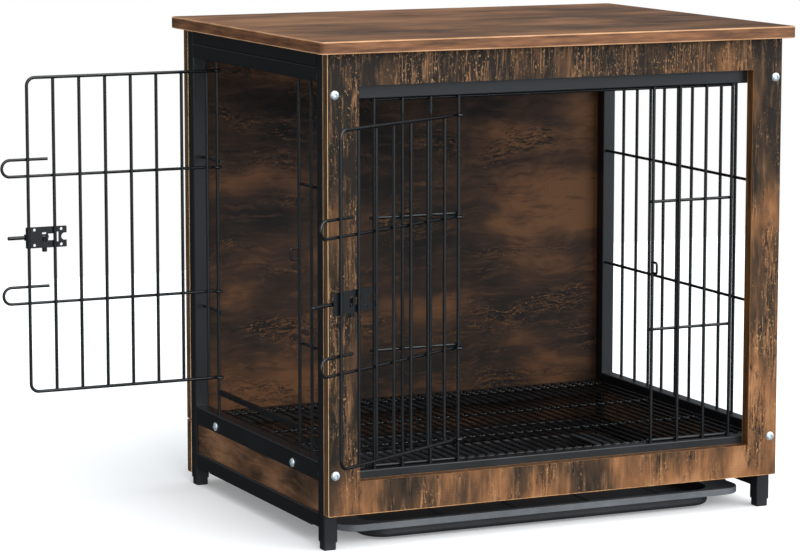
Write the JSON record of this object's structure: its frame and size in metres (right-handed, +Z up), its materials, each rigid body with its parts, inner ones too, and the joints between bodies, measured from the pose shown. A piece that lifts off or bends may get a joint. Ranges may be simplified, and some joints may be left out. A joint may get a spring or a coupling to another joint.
{
  "type": "dog crate end table",
  "caption": "Dog crate end table: rustic wood top and boards, black square-tube frame, wire walls, front and side wire doors with sliding bolts, floor grid and pull-out tray.",
  "frame": {"origin": "on the floor under the middle of the body, between the four feet", "axes": "+X across the width to the right seen from the front, +Y to the back, +Z up"},
  "size_m": [0.9725, 0.6278, 0.655],
  "materials": {
    "wood_top": "satin rustic brown laminate, grain along the width",
    "wood_board": "satin rustic brown laminate, distressed",
    "black_steel": "satin black powder coat",
    "black_plastic": "matte",
    "zinc": "bright zinc plate"
  },
  "bodies": {
    "crate": {"back_bottom_rail": "black_steel", "back_floor_rail": "black_steel", "back_lower_board": "wood_board", "back_panel": "wood_board", "back_panel_bolts": "zinc", "back_top_rail": "black_steel", "floor_grid": "black_steel", "foot_back_left": "black_plastic", "foot_back_right": "black_plastic", "foot_front_left": "black_plastic", "foot_front_right": "black_plastic", "front_floor_rail": "black_steel", "front_header_rail": "black_steel", "front_keeper": "black_steel", "front_left_grille": "black_steel", "front_panel": "wood_board", "front_panel_bolts": "zinc", "front_right_grille": "black_steel", "front_top_rail": "black_steel", "front_top_wire": "black_steel", "left_bottom_rail": "black_steel", "left_door_sill": "black_steel", "left_floor_rail": "black_steel", "left_grille": "black_steel", "left_header_rail": "black_steel", "left_hinge_bar": "black_steel", "left_rail_bolts": "zinc", "left_skirt_board": "wood_board", "left_top_rail": "black_steel", "left_tray_runner": "black_steel", "post_back_left": "black_steel", "post_back_right": "black_steel", "post_front_left": "black_steel", "post_front_right": "black_steel", "right_bottom_rail": "black_steel", "right_floor_rail": "black_steel", "right_grille": "black_steel", "right_header_rail": "black_steel", "right_rail_bolts": "zinc", "right_skirt_board": "wood_board", "right_top_rail": "black_steel", "right_tray_runner": "black_steel", "side_keeper": "black_steel", "table_screws": "zinc", "table_top": "wood_top"},
    "front_door": {"front_door_grille": "black_steel", "front_latch_plate": "black_steel"},
    "front_bolt": {"front_bolt_rod": "black_steel"},
    "front_handle": {"front_bolt_handle": "black_steel"},
    "side_door": {"side_door_grille": "black_steel", "side_latch_plate": "black_steel"},
    "side_bolt": {"side_bolt_rod": "black_steel"},
    "side_handle": {"side_bolt_handle": "black_steel"},
    "tray": {"tray": "black_plastic"}
  },
  "joints": [
    {"name": "front_door_hinge", "type": "hinge", "parent": "crate", "child": "front_door", "pos_m": [-0.1355, -0.2245, 0.34], "axis": [0, 0, -1], "range_deg": [-151, 14]},
    {"name": "front_bolt_slide", "type": "slide", "parent": "front_door", "child": "front_bolt", "axis": [0.8746, 0.4848, 0], "range_m": [0, 0.018]},
    {"name": "front_handle_turn", "type": "hinge", "parent": "front_bolt", "child": "front_handle", "pos_m": [-0.33087, -0.32376, 0.3376], "axis": [0.8746, 0.4848, 0], "range_deg": [0, 100]},
    {"name": "side_door_hinge", "type": "hinge", "parent": "crate", "child": "side_door", "pos_m": [-0.3205, 0.151, 0.375], "axis": [0, 0, -1], "range_deg": [-90, 70]},
    {"name": "side_bolt_slide", "type": "slide", "parent": "side_door", "child": "side_bolt", "axis": [1, 0, 0], "range_m": [0, 0.018]},
    {"name": "side_handle_turn", "type": "hinge", "parent": "side_bolt", "child": "side_handle", "pos_m": [-0.5672, 0.1589, 0.3723], "axis": [1, 0, 0], "range_deg": [0, 100]},
    {"name": "tray_slide", "type": "slide", "parent": "crate", "child": "tray", "axis": [0, -1, 0], "range_m": [0, 0.4]}
  ]
}
